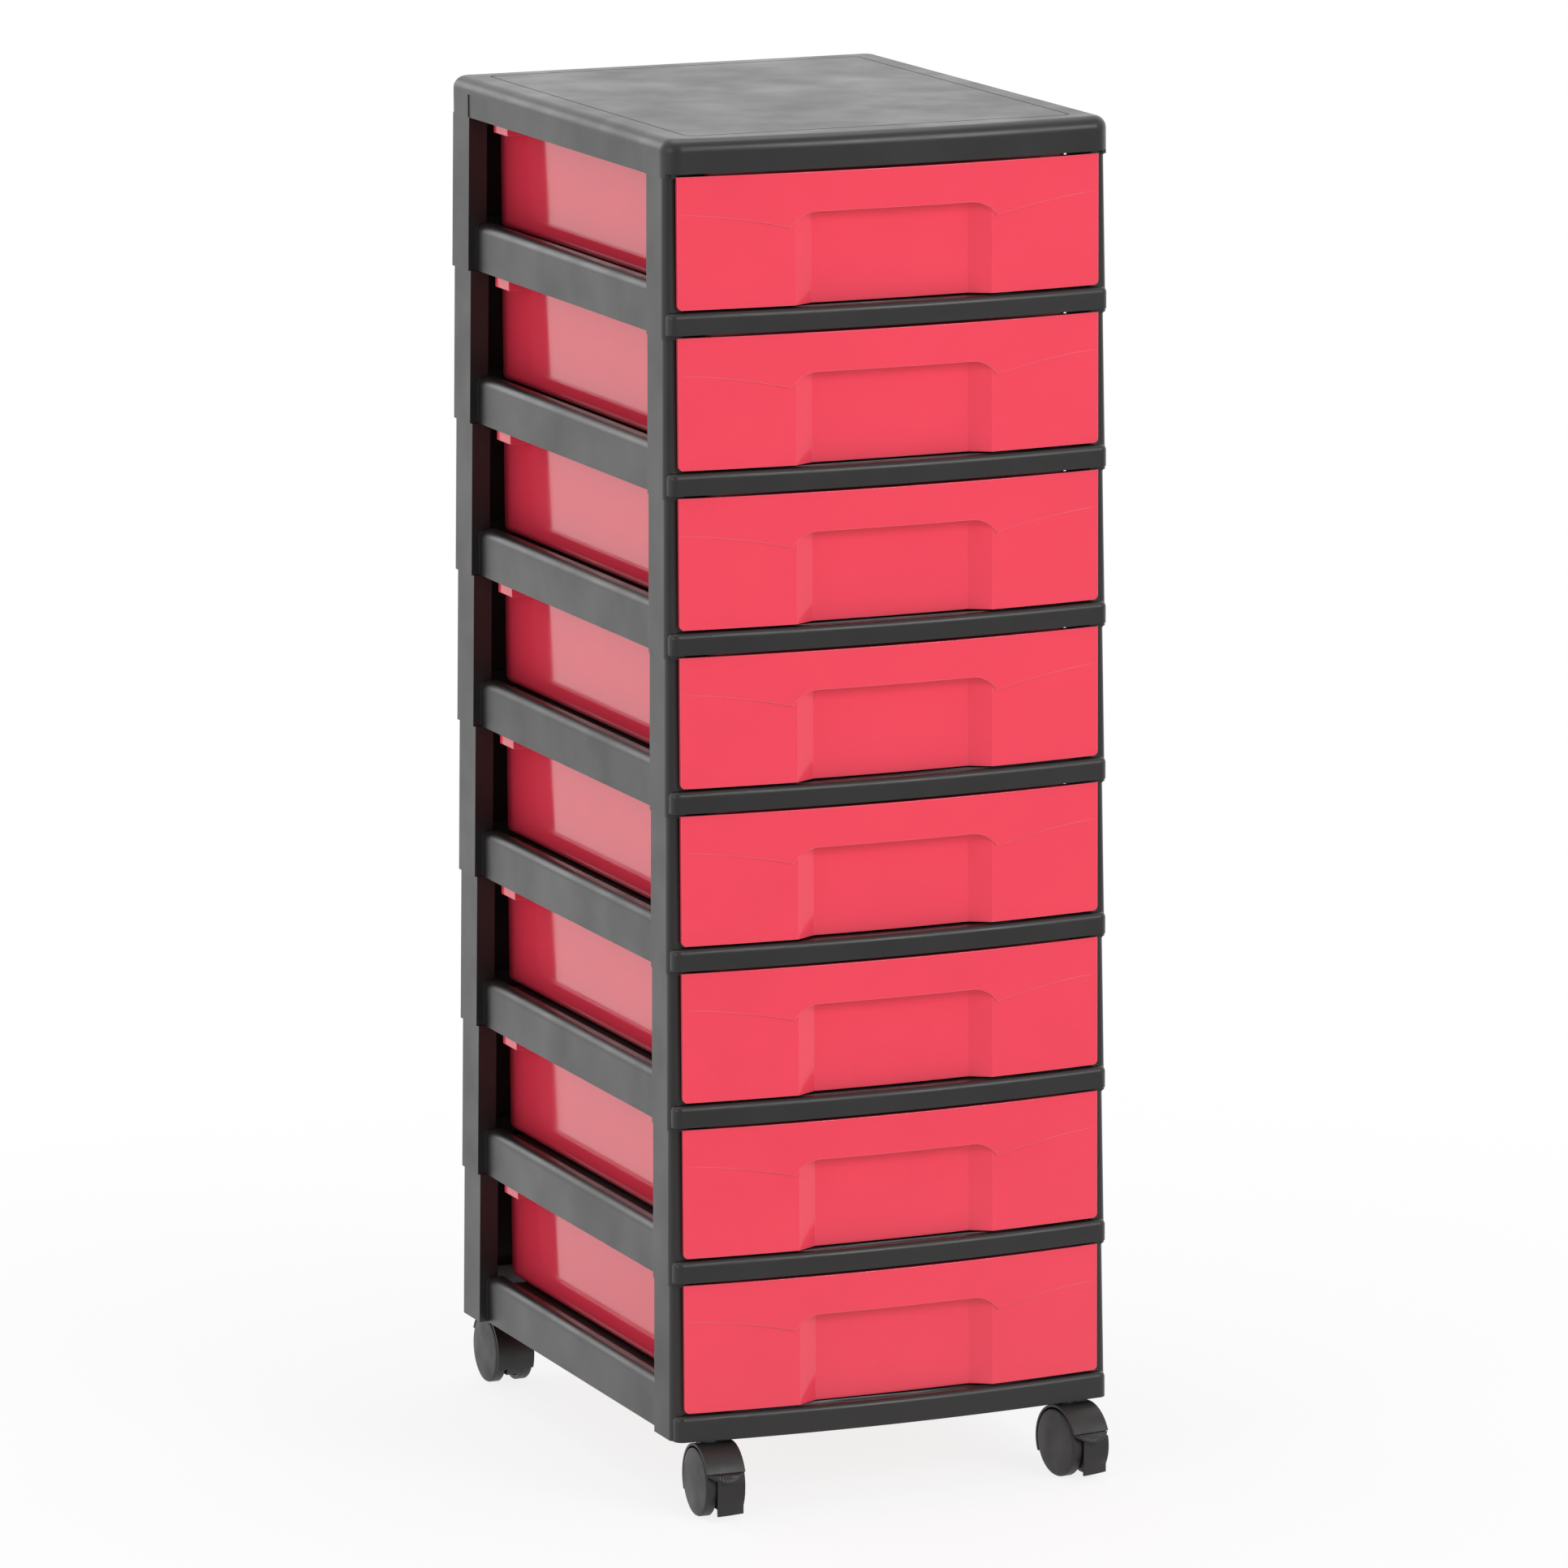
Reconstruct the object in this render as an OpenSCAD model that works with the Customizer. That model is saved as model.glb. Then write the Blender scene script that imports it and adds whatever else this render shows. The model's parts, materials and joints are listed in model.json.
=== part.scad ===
// Eight-drawer tower of stacked plastic frames on four twin-wheel casters.
// +Z is up, the drawers open along -Y, and the floor is Z = 0.

/* [Tower] */
// Width over the corner posts at the foot of a frame
frame_w = 300; // [270:1:340]
// Depth from the posts' front face to the back face
frame_d = 373; // [340:1:420]
// Height from one frame to the next
pitch = 100; // [96:1:125]
// Wall thickness of the frames and the top cover
wall = 2.4; // [2:0.1:2.8]

/* [Frame] */
// Height of the side and back rails
rail_h = 31; // [29:0.5:35]
// How far the side rails lie in from the posts' outer face
rail_in = 5.5; // [5:0.1:7]
// Distance of the ledge's inner edge from the rail's outer face
ledge_w = 36; // [32:1:40]
// How far the ledge that a drawer slides on lies under the rail's top
ledge_drop = 7; // [5:0.5:9]
// Rounding along the top edge of a rail
rail_round = 6.5; // [4:0.5:7]
// Depth of the lip that hangs from the ledge's inner edge
ledge_lip = 9; // [6:1:14]
// Height of the front bar
bar_h = 14; // [11:0.5:15]
// Underside of the front bar above the seam below it
bar_up = 2.7; // [2:0.1:4]
// How far the bar reaches back behind the posts' front face
bar_back = 14; // [11:0.5:18]
// Height of the cross wall behind the bar, above the seam
cross_h = 20; // [19:0.5:20.5]
// How far the bar stands in front of the drawer fronts
lip = 2.5; // [1.5:0.1:4]
// Rounding of the bar's top front edge
lip_round = 4; // [3:0.5:5]
// Corner radius at the bar's ends, seen from above
lip_corner = 6; // [5.5:0.5:7]
// How far the bar's ends lie in from the posts' outer face
lip_end = 1.5; // [1:0.1:3]

/* [Posts] */
// Length of a front post's side flange
post_side = 29.5; // [26:0.5:36]
// Length of a rear post's side flange
post_rear = 33.5; // [28:0.5:38]
// Width of the front post's front flange
post_front = 12.5; // [11:0.5:14]
// Width of the closed wing beside the open back
wing_w = 58; // [45:1:75]
// How far a post leans in over the height of one frame
post_lean = 1.2; // [0.6:0.1:1.6]
// Outer corner radius of a post
post_round = 5; // [4:0.5:7]
// Height of the tongue that locates the next frame
tongue_h = 8; // [6:1:12]

/* [Top cover] */
// Height of the cover's skirt
cap_h = 24; // [20:0.5:30]
// Rounding along the cover's top edge
cap_round = 8; // [6:0.5:9]
// Corner radius of the cover, seen from above
cap_corner = 12; // [11:0.5:14]
// Distance of the groove from the cover's edge
groove_in = 20; // [16:1:28]
// Width of the groove
groove_w = 1.4; // [1:0.1:2]
// Depth of the groove
groove_d = 0.6; // [0.4:0.1:1]
// How far the middle of the side skirt lies in
skirt_step = 0.6; // [0.4:0.1:1]
// Height of the stiffening ribs under the cover
rib_h = 8; // [6:1:12]
// Thickness of the stiffening ribs
rib_t = 1.6; // [1.2:0.1:2.4]

/* [Drawer front] */
// How far the front's ends lie in from the posts' outer face
front_side = 8; // [7:0.5:9]
// How far the front bows out between its ends
bow = 9; // [6:0.5:12]
// Distance of the front's ends in front of the posts' face
front_over = 3; // [2.9:0.1:4]
// Thickness of the front
front_t = 2.6; // [2:0.1:2.8]
// Gap between the front and the bar above it
gap_top = 2; // [1.5:0.1:3]
// Gap between the front and the bar below it
gap_bottom = 1.3; // [1:0.1:2]
// Corner radius at the front's bottom corners
front_round = 3; // [2:0.5:5]
// How far the upper band stands out in the middle
band_proud = 1.5; // [1:0.1:2.5]
// Height of the upper band at the front's ends
band_end = 23.5; // [20:0.5:26]
// Height of the upper band at its two tips
band_tip = 34; // [31:0.5:37]
// Height of the upper band over the grip
band_mid = 24.7; // [22:0.1:27]
// Distance of the tips from the middle
tip_x = 69.5; // [66:0.5:74]
// Width of the grip's flat back
grip_w = 104; // [96:1:110]
// How far each side wall of the grip slants in
grip_slant = 15; // [12:0.5:18]
// Depth of the grip
grip_d = 8.5; // [6:0.5:10]

/* [Drawer tub] */
// Wall thickness of the tub
tub_wall = 1.8; // [1.5:0.1:2.2]
// How far the tub's sides lie in from the posts' outer face
tub_side = 27; // [24:0.5:30]
// Distance of the tub's back from the frame's back face
tub_back = 16; // [14:1:40]
// How much narrower the tub is at its foot, on each side
tub_draft = 1.2; // [0.5:0.1:2]
// Rounding along the tub's bottom edges
tub_round = 7; // [5:0.5:9]
// Corner radius of the tub, seen from above
tub_corner = 10; // [8:1:14]
// Gap between the tub's rim and the bar above it
rim_gap = 0.8; // [0.6:0.1:1.4]
// Running gap between the tub and the ledges
run_gap = 0.3; // [0.2:0.1:0.5]
// Height of the guide ribs under the tub
guide_h = 3; // [2:0.5:3]
// Thickness of the guide ribs under the tub
guide_t = 2; // [1.6:0.1:3]
// Sideways gap between a guide rib and its ledge
guide_gap = 0.8; // [0.5:0.1:1.5]
// Length of the tub that stays in the frame at full travel
stay_in = 67.5; // [62:0.5:110]
// Length of a stop tab
tab_l = 24; // [16:1:28]
// Height of a stop tab's hook
tab_h = 7; // [5:0.5:9]
// Thickness of a stop tab
tab_t = 2; // [1.6:0.1:3]
// How far a stop tab reaches behind the front post's flange
tab_catch = 2; // [1.5:0.1:3]

/* [Casters] */
// Height of the lowest frame above the floor
caster_h = 48; // [47:0.5:55]
// Wheel diameter
wheel_d = 44; // [40:1:44]
// Width of one wheel
wheel_w = 7.5; // [6.5:0.1:8]
// Width over both wheels
caster_w = 27; // [26:0.5:30]
// Distance of the axle from the swivel axis
trail = 9; // [8:0.5:11]
// Axle diameter
axle_d = 5; // [4:0.1:6]
// Diameter of the stem
stem_d = 8; // [7:0.1:9]
// Diameter of the stem's collar
collar_d = 15; // [14:0.5:17]
// Length of the stem inside the frame
stem_up = 14; // [12:0.5:14]
// Distance of the stems from the posts' outer side face
stem_side = 27; // [21:0.5:30]
// Distance of the front stems behind the posts' front face
stem_front = 4; // [3:0.5:6]
// Distance of the back stems from the frame's back face
stem_back = 15; // [13:0.5:18]
// Radial running clearance of wheels and stems
run_fit = 0.05; // [0.02:0.01:0.1]
// Gap between a wheel and the hood around it
hood_gap = 0.8; // [0.6:0.1:1.2]
// Wall thickness of the hood
hood_wall = 1.6; // [1.2:0.1:1.8]
// Width of the brake pedal
pedal_w = 17; // [14:0.5:18]
// How far the pedal's lip reaches in front of the hood
pedal_lip = 2.4; // [1.6:0.1:3]
// Number of teeth on the pedal's lip
pedal_teeth = 7; // [5:1:9]
// Turn of the front left caster
swivel_fl = -2; // [-20:1:20]
// Turn of the front right caster
swivel_fr = 8; // [-20:1:20]

/* [Hidden] */
$fn = 64;
bow_fn = 720;
arc_steps = 10;
eps = 0.01;
lap = 12;
swell = 0.05;
big = 1000;
count = 8;
frame_col = [0.27, 0.27, 0.28];
drawer_col = [0.96, 0.28, 0.36];
caster_col = [0.16, 0.15, 0.15];
pin_col = [0.6, 0.6, 0.62];

// Working frame: Y = 0 at the ends of the drawer fronts, moved to the origin at the end.
half_w = frame_w / 2;
y_post = front_over;
y_back = y_post + frame_d;
rail_x = half_w - rail_in;
front_w = frame_w - 2 * front_side;
bow_r = (pow(front_w / 2, 2) + pow(bow, 2)) / (2 * bow);
bow_y = bow_r - bow;
band_r = (pow(front_w / 2, 2) + pow(bow + band_proud, 2)) / (2 * (bow + band_proud));
band_y = band_r - bow - band_proud;
lip_r = bow_r + lip;
bar_top = bar_up + bar_h;
front_z0 = bar_top + gap_bottom;
front_z1 = pitch + bar_up - gap_top;
rim_z = pitch + bar_up - rim_gap;
tub_x = half_w - tub_side;
tub_y0 = front_over - 0.5;
tub_y1 = y_back - tub_back;
ledge_z = rail_h - ledge_drop;
rim_w = rail_round + wall + 0.4;
tub_z0 = ledge_z + run_gap;
guide_x = rail_x - ledge_w - guide_gap - guide_t;
travel = tub_y1 - tub_y0 - stay_in;
tab_y = y_post + wall + travel + 1.6;
tab_x = half_w - post_front + tab_catch;

// Caster sizes, from the swivel axis and the floor
wheel_r = wheel_d / 2;
hood_ri = wheel_r + hood_gap;
hood_ro = hood_ri + hood_wall;
web_t = caster_w - 2 * wheel_w - 2 * hood_gap;
web_r = hood_ri + hood_wall / 2;
collar_h = 3;
seat_z = caster_h - collar_h - 0.3;
boss_r = collar_d / 2 + 0.6;
pivot_z = wheel_r + 7;
knuckle_r = 2.2;
knuckle_gap = 0.4;
pivot_y = -(trail + sqrt(pow(wheel_r + knuckle_gap + knuckle_r, 2) - pow(pivot_z - wheel_r, 2)));
lip_arc = 16;
lip_c = trail + hood_ro + pedal_lip - lip_arc;
stem_x = half_w - stem_side;
stem_yf = y_post + stem_front;
stem_yb = y_back - stem_back;
y_min = stem_yf - lip_c * cos(min(abs(swivel_fl), abs(swivel_fr))) - lip_arc;
y_max = stem_yb + trail + web_r;
y_mid = (y_min + y_max) / 2;

function seam(k) = caster_h + (count - k) * pitch;

// ---- plan and section helpers ----

// Rectangle from the origin with its far top corner rounded
module shoulder(w, h, r) {
    square([w - r, h]);
    square([w, h - r]);
    translate([w - r, h - r])
        intersection() {
            circle(r);
            square(r);
        }
}

// Rounded rectangle centred in x, from y0 to y1
module round_rect(hx, y0, y1, r) {
    translate([-hx + r, y0])
        square([2 * hx - 2 * r, y1 - y0]);
    translate([-hx, y0 + r])
        square([2 * hx, y1 - y0 - 2 * r]);
    for (x = [-hx + r, hx - r], y = [y0 + r, y1 - r])
        translate([x, y])
            circle(r);
}

// Stands an XZ outline up and spreads it from y0 to y1
module stand(y0, y1) {
    translate([0, y1, 0])
        rotate([90, 0, 0])
            linear_extrude(y1 - y0)
                children();
}

// Bowed front edge with rounded ends: a section swept along the bow and round both corners.
// A corner's sweep turns lap degrees into its neighbours and is fuller by swell.
// r_out: radius of the bow, rc: end corner radius, rf: top rounding, x_end: half width
module bow_edge(r_out, rc, rf, x_end, z0, z1) {
    a = asin((x_end - rc) / (r_out - rc));
    cy = bow_y - (r_out - rc) * cos(a);
    translate([0, bow_y, z0])
        rotate([0, 0, -90 - a])
            rotate_extrude(angle = 2 * a, $fn = bow_fn)
                translate([r_out - rc, 0])
                    shoulder(rc, z1 - z0, rf);
    for (m = [0, 1])
        mirror([m, 0, 0])
            translate([x_end - rc, cy, z0])
                rotate([0, 0, -90 + a - lap])
                    rotate_extrude(angle = 90 - a + 2 * lap)
                        shoulder(rc + swell, z1 - z0 + swell, rf + swell);
}

// Y of the centre of a bowed edge's end corner
function bow_corner_y(r_out, rc, x_end) =
    bow_y - (r_out - rc) * cos(asin((x_end - rc) / (r_out - rc)));

// Flat core behind a bowed edge, back to y1
module bow_core(r, hx, y1, z0, z1) {
    intersection() {
        translate([0, bow_y, z0])
            cylinder(r = r, h = z1 - z0, $fn = bow_fn);
        translate([-hx, -big, z0])
            cube([2 * hx, big + y1, z1 - z0]);
    }
}

// ---- frame ----

// One corner post in plan: outer corner at the origin, front flange along x, side along y
module post_plan(flange, ret, side) {
    r = post_round;
    translate([r, 0])
        square([flange - r, wall]);
    translate([0, r])
        square([wall, side - r]);
    intersection() {
        translate([r, r])
            difference() {
                circle(r);
                circle(r - wall);
            }
        square(r);
    }
    translate([0, side - wall])
        square([ret, wall]);
}

// The four posts of a frame, leaning in towards its top
module posts() {
    lean = atan(post_lean / pitch);
    ret_f = rail_in + wall - 0.6;
    intersection() {
        translate([-big / 2, -big / 2, 0])
            cube([big, big, pitch]);
        for (m = [0, 1])
            mirror([m, 0, 0]) {
                translate([-half_w, y_post, 0])
                    rotate([-lean, lean, 0])
                        translate([0, 0, -pitch / 4])
                            linear_extrude(1.5 * pitch)
                                post_plan(post_front, ret_f, post_side);
                translate([-half_w, y_back, 0])
                    mirror([0, 1, 0])
                        rotate([-lean, lean, 0])
                            translate([0, 0, -pitch / 4])
                                linear_extrude(1.5 * pitch) {
                                    post_plan(wing_w, post_front, post_rear);
                                    translate([wing_w - wall, 0])
                                        square([wall, 2 * wall]);
                                }
            }
    }
}

// Tongues on the posts' tops, standing inside the frame or cover above
module tongues() {
    slack = 0.4;
    t = rail_in - wall - 2 * slack;
    inset = cap_corner + wall + slack;
    for (m = [0, 1])
        mirror([m, 0, 0])
            translate([half_w - wall - slack - t, 0, pitch - tongue_h]) {
                translate([0, y_post + cap_corner, 0])
                    cube([t, post_side - inset, 2 * tongue_h]);
                translate([0, y_back - post_rear + wall + slack, 0])
                    cube([t, post_rear - inset, 2 * tongue_h]);
            }
}

// Section of a rail's rim: skin, rounded top and the wall inside it; x runs outward
module rim_section() {
    difference() {
        shoulder(rim_w, rail_h, rail_round);
        translate([wall, -eps])
            shoulder(rim_w - 2 * wall, rail_h - wall + eps, rail_round - wall);
        translate([-eps, -eps])
            square([wall + 2 * eps, ledge_z - wall + eps]);
    }
}

// Section of a side rail: rim, ledge and the lip along the ledge's inner edge
module rail_section() {
    translate([ledge_w - rim_w, 0])
        rim_section();
    translate([0, ledge_z - wall])
        square([ledge_w - rim_w + wall / 2, wall]);
    translate([0, ledge_z - ledge_lip])
        square([wall, ledge_lip - wall / 2]);
}

// Side rails that carry the drawer, rounded off at the back end
module side_rails() {
    y0 = y_post + wall / 2;
    y1 = y_back - post_rear + wall / 2;
    for (m = [0, 1])
        mirror([m, 0, 0])
            intersection() {
                translate([rail_x - ledge_w, 0, 0])
                    stand(y0, y1)
                        rail_section();
                translate([0, y0, 0])
                    rotate([90, 0, 90])
                        linear_extrude(big)
                            shoulder(y1 - y0, rail_h, rail_round);
            }
}

// Back rail between the two wings
module back_rail() {
    set_in = post_lean / 2;
    x = half_w - post_round - wall;
    translate([-x, y_back - set_in - rim_w, 0])
        rotate([90, 0, 90])
            linear_extrude(2 * x)
                rim_section();
}

// Bowed front bar, hollow underneath, with the cross wall behind it
module front_bar(z0) {
    y1 = y_post + bar_back;
    x_end = half_w - lip_end;
    xi = rail_x - wall / 2;
    difference() {
        union() {
            bow_edge(lip_r, lip_corner, lip_round, x_end, z0, bar_top);
            bow_core(lip_r - lip_corner, xi, y1, bar_top - wall, bar_top);
        }
        bow_core(lip_r - wall, x_end - lip_corner, y1 - wall, z0 - 1, bar_top - wall);
        for (m = [0, 1])
            mirror([m, 0, 0])
                translate([x_end - lip_corner, bow_corner_y(lip_r, lip_corner, x_end), z0 - 1])
                    cylinder(r = lip_corner - wall, h = bar_top - wall - z0 + 1);
    }
    translate([-xi, y1 - wall, z0])
        cube([2 * xi, wall, cross_h - z0]);
}

// Sockets in the lowest frame that take the caster stems
module stem_sockets() {
    r = collar_d / 2;
    for (m = [0, 1])
        mirror([m, 0, 0]) {
            difference() {
                union() {
                    for (y = [stem_yf, stem_yb])
                        translate([stem_x, y, 0])
                            cylinder(r = r, h = stem_up + wall);
                    translate([stem_x - r, y_post + wall / 2, 0])
                        cube([rail_x - stem_x + r - wall / 2, bar_back - wall, wall]);
                    translate([stem_x - r, y_back - post_rear + wall / 2, 0])
                        cube([rail_x - stem_x + r - wall / 2, post_rear - wall, wall]);
                    translate([stem_x, stem_yb - wall / 2, 0])
                        cube([half_w - wall / 2 - stem_x, wall, stem_up]);
                }
                for (y = [stem_yf, stem_yb])
                    translate([stem_x, y, -1])
                        cylinder(d = stem_d, h = stem_up + 1);
            }
        }
}

module frame(k) {
    color(frame_col)
        translate([0, -y_mid, seam(k)]) {
            posts();
            tongues();
            side_rails();
            back_rail();
            front_bar(k == count ? 0 : bar_up);
            if (k == count)
                stem_sockets();
        }
}

// ---- top cover ----

// Body of the cover, drawn in by o on every side
module cover_body(o, z0, z1) {
    rc = cap_corner - o;
    rf = cap_round - o;
    x = half_w - o;
    y1 = y_back - o;
    yc = bow_corner_y(lip_r - o, rc, x);
    bow_edge(lip_r - o, rc, rf, x, z0, z1);
    bow_core(lip_r - o - rc + 1, x - rc + 1, y1 - rc + 1, z0, z1);
    for (m = [0, 1])
        mirror([m, 0, 0]) {
            translate([x - rc, 0, z0])
                stand(yc, y1 - rc)
                    shoulder(rc, z1 - z0, rf);
            translate([x - rc, y1 - rc, z0])
                rotate([0, 0, -lap])
                    rotate_extrude(angle = 90 + 2 * lap)
                        shoulder(rc + swell, z1 - z0 + swell, rf + swell);
        }
    translate([-x + rc, y1 - rc, z0])
        rotate([90, 0, 90])
            linear_extrude(2 * x - 2 * rc)
                shoulder(rc, z1 - z0, rf);
}

module top_cover() {
    gx = half_w - groove_in;
    color(frame_col)
        translate([0, -y_mid, caster_h + count * pitch]) {
            difference() {
                cover_body(0, 0, cap_h);
                cover_body(wall, -1, cap_h - wall);
                translate([-half_w, -big + y_post - eps, -1])
                    cube([2 * half_w, big, bar_up + 1]);
                translate([0, 0, cap_h - groove_d])
                    linear_extrude(groove_d + 1)
                        difference() {
                            round_rect(gx, y_post + groove_in / 2, y_back - groove_in, 6);
                            round_rect(gx - groove_w, y_post + groove_in / 2 + groove_w,
                                y_back - groove_in - groove_w, 6 - groove_w);
                        }
                for (m = [0, 1])
                    mirror([m, 0, 0])
                        translate([half_w - skirt_step, y_post + post_side + wall, -1])
                            cube([2, frame_d - post_side - post_rear - 2 * wall, cap_h - cap_round]);
            }
            for (i = [-2 : 2])
                translate([i * half_w / 3 - rib_t / 2, y_post, cap_h - wall - rib_h])
                    cube([rib_t, frame_d - cap_round + wall, rib_h + eps]);
            for (i = [1 : 4])
                translate([-half_w + cap_round - wall, y_post + i * frame_d / 5, cap_h - wall - rib_h])
                    cube([frame_w - 2 * cap_round + 2 * wall, rib_t, rib_h + eps]);
        }
}

// ---- drawer ----

// Lower edge of the upper band, from the middle outwards, as depth below the front's top
grip_arc = (pow(tip_x - grip_w / 2, 2) + pow(band_tip - band_mid, 2)) / (2 * (band_tip - band_mid));
function band_depth(x) =
    x < grip_w / 2 ? band_mid
    : x < tip_x ? band_mid + grip_arc - sqrt(pow(grip_arc, 2) - pow(x - grip_w / 2, 2))
    : band_end + (band_tip - band_end) * pow((front_w / 2 - x) / (front_w / 2 - tip_x), 1.6);
band_xs = concat([for (i = [0 : arc_steps]) grip_w / 2 + (tip_x - grip_w / 2) * i / arc_steps],
    [for (i = [1 : arc_steps]) tip_x + (front_w / 2 - tip_x) * i / arc_steps]);

// Everything of the front below the band, or the band itself
module band_outline(low) {
    edge = [for (x = band_xs) [x, front_z1 - band_depth(x)]];
    back = [for (i = [len(band_xs) - 1 : -1 : 0]) [-edge[i][0], edge[i][1]]];
    polygon(concat(back, edge, low
        ? [[front_w / 2, front_z0 - 5], [-front_w / 2, front_z0 - 5]]
        : [[front_w / 2, front_z1], [-front_w / 2, front_z1]]));
}

// Grip hollow in plan, widened by e on each side
module grip_plan(e) {
    y_ref = -bow * (1 - pow((grip_w + grip_slant) / front_w, 2));
    k = grip_slant / grip_d;
    x0 = grip_w / 2 + e + k * (grip_d + 10);
    x1 = grip_w / 2 + e - k * 4;
    polygon([[-x0, y_ref - 10], [x0, y_ref - 10], [x1, y_ref + grip_d + 4], [-x1, y_ref + grip_d + 4]]);
}

// Slice of the space between two upright bowed faces
module bow_slice(r_out, y_out, r_in) {
    difference() {
        translate([0, y_out, 0])
            cylinder(r = r_out, h = 2 * pitch, $fn = bow_fn);
        translate([0, bow_y, -1])
            cylinder(r = r_in, h = 2 * pitch + 2, $fn = bow_fn);
    }
}

module drawer_front() {
    difference() {
        union() {
            intersection() {
                bow_slice(bow_r, bow_y, bow_r - front_t);
                stand(-2 * bow, front_t)
                    round_rect(front_w / 2, front_z0, front_z1, front_round);
            }
            intersection() {
                bow_slice(band_r, band_y, bow_r - front_t);
                stand(-2 * bow, front_t)
                    band_outline(false);
            }
            intersection() {
                translate([0, bow_y, 0])
                    cylinder(r = bow_r - front_t + eps, h = 2 * pitch, $fn = bow_fn);
                translate([0, 0, front_z0])
                    linear_extrude(front_z1 - band_mid + front_t - front_z0)
                        grip_plan(front_t * 1.9);
                translate([-front_w / 2, -2 * bow, 0])
                    cube([front_w, 2 * bow + tub_y0 + tub_wall / 2, 2 * pitch]);
            }
        }
        intersection() {
            bow_slice(bow_r + bow, bow_y, bow_r - grip_d);
            translate([0, 0, front_z0 - 1])
                linear_extrude(pitch)
                    grip_plan(0);
            stand(-3 * bow, y_post)
                band_outline(true);
        }
    }
    // Ledge that joins the front's top edge to the tub
    intersection() {
        translate([0, bow_y, front_z1 - front_t])
            cylinder(r = bow_r - front_t / 2, h = front_t, $fn = bow_fn);
        translate([-tub_x, -2 * bow, 0])
            cube([2 * tub_x, 2 * bow + tub_y0 + tub_wall / 2, 2 * pitch]);
    }
    // Gussets between the front and the tub
    for (x = [-tub_x + tub_corner, -tip_x - 2 * grip_slant, tip_x + 2 * grip_slant, tub_x - tub_corner])
        intersection() {
            translate([x - tub_wall / 2, -2 * bow, tub_z0 + 1])
                cube([tub_wall, 2 * bow + tub_y0 + tub_wall / 2, front_z1 - tub_z0 - 1 - front_t / 2]);
            translate([0, bow_y, 0])
                cylinder(r = bow_r - front_t / 2, h = 2 * pitch, $fn = bow_fn);
        }
}

// Corner arc of a tub section, as points
function arc(cx, cy, r, a0, a1) =
    [for (i = [0 : arc_steps]) [cx + r * cos(a0 + (a1 - a0) * i / arc_steps),
        cy + r * sin(a0 + (a1 - a0) * i / arc_steps)]];

// Outer form of the tub drawn in by o: three outlines crossed
module tub_form(o, z0, z1) {
    r = tub_round - o;
    foot = tub_x - tub_draft - o;
    intersection() {
        stand(tub_y0 + o, tub_y1 - o)
            polygon(concat([[tub_x - o, z1]],
                [[-tub_x + o, z1]],
                arc(-foot + r, z0 + r, r, 180, 270),
                arc(foot - r, z0 + r, r, 270, 360)));
        translate([-tub_x, 0, 0])
            rotate([90, 0, 90])
                linear_extrude(2 * tub_x)
                    polygon(concat([[tub_y1 - o, z1], [tub_y0 + o, z1], [tub_y0 + o, z0]],
                        arc(tub_y1 - tub_draft - o - r, z0 + r, r, 270, 360)));
        translate([0, 0, z0 - 1])
            linear_extrude(z1 - z0 + 2)
                round_rect(tub_x - o, tub_y0 + o, tub_y1 - o, tub_corner - o);
    }
}

module drawer(k) {
    color(drawer_col)
        translate([0, -y_mid, seam(k)]) {
            drawer_front();
            difference() {
                union() {
                    tub_form(0, tub_z0, rim_z);
                    for (m = [0, 1])
                        mirror([m, 0, 0])
                            translate([guide_x, y_post + bar_back, tub_z0 - guide_h])
                                cube([guide_t, tub_y1 - tub_round - y_post - bar_back,
                                    guide_h + tub_wall / 2]);
                }
                tub_form(tub_wall, tub_z0 + tub_wall, rim_z + 1);
            }
            for (m = [0, 1])
                mirror([m, 0, 0])
                    translate([0, 0, pitch - 1]) {
                        translate([tub_x - tub_wall / 2, tab_y, -tab_t])
                            cube([tab_x - tub_x + tub_wall / 2, tab_l, tab_t]);
                        translate([tab_x - tab_t, tab_y, -tab_h])
                            cube([tab_t, tab_l, tab_h - tab_t / 2]);
                        translate([tub_x - tub_wall / 2, tab_y, -tab_h])
                            cube([tab_x - tub_x + tub_wall / 2 - tab_t / 2, tab_t, tab_h - tab_t / 2]);
                    }
        }
}

// ---- casters ----

// Puts a caster piece under its corner: sx and sy are the corner, a the swivel turn
module at_corner(sx, sy, a) {
    translate([sx * stem_x, (sy < 0 ? stem_yf : stem_yb) - y_mid, 0])
        rotate([0, 0, a])
            children();
}

module stem() {
    color(pin_col) {
        translate([0, 0, caster_h - eps])
            cylinder(d = stem_d, h = stem_up - 1);
        translate([0, 0, caster_h - collar_h])
            cylinder(d = collar_d, h = collar_h);
        translate([0, 0, seat_z - 11])
            cylinder(d = stem_d, h = caster_h - collar_h - seat_z + 11 + eps);
    }
}

// Cylinder along X about the axle
module across(r, x0, x1) {
    translate([x0, -trail, wheel_r])
        rotate([0, 90, 0])
            cylinder(r = r, h = x1 - x0);
}

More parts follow.
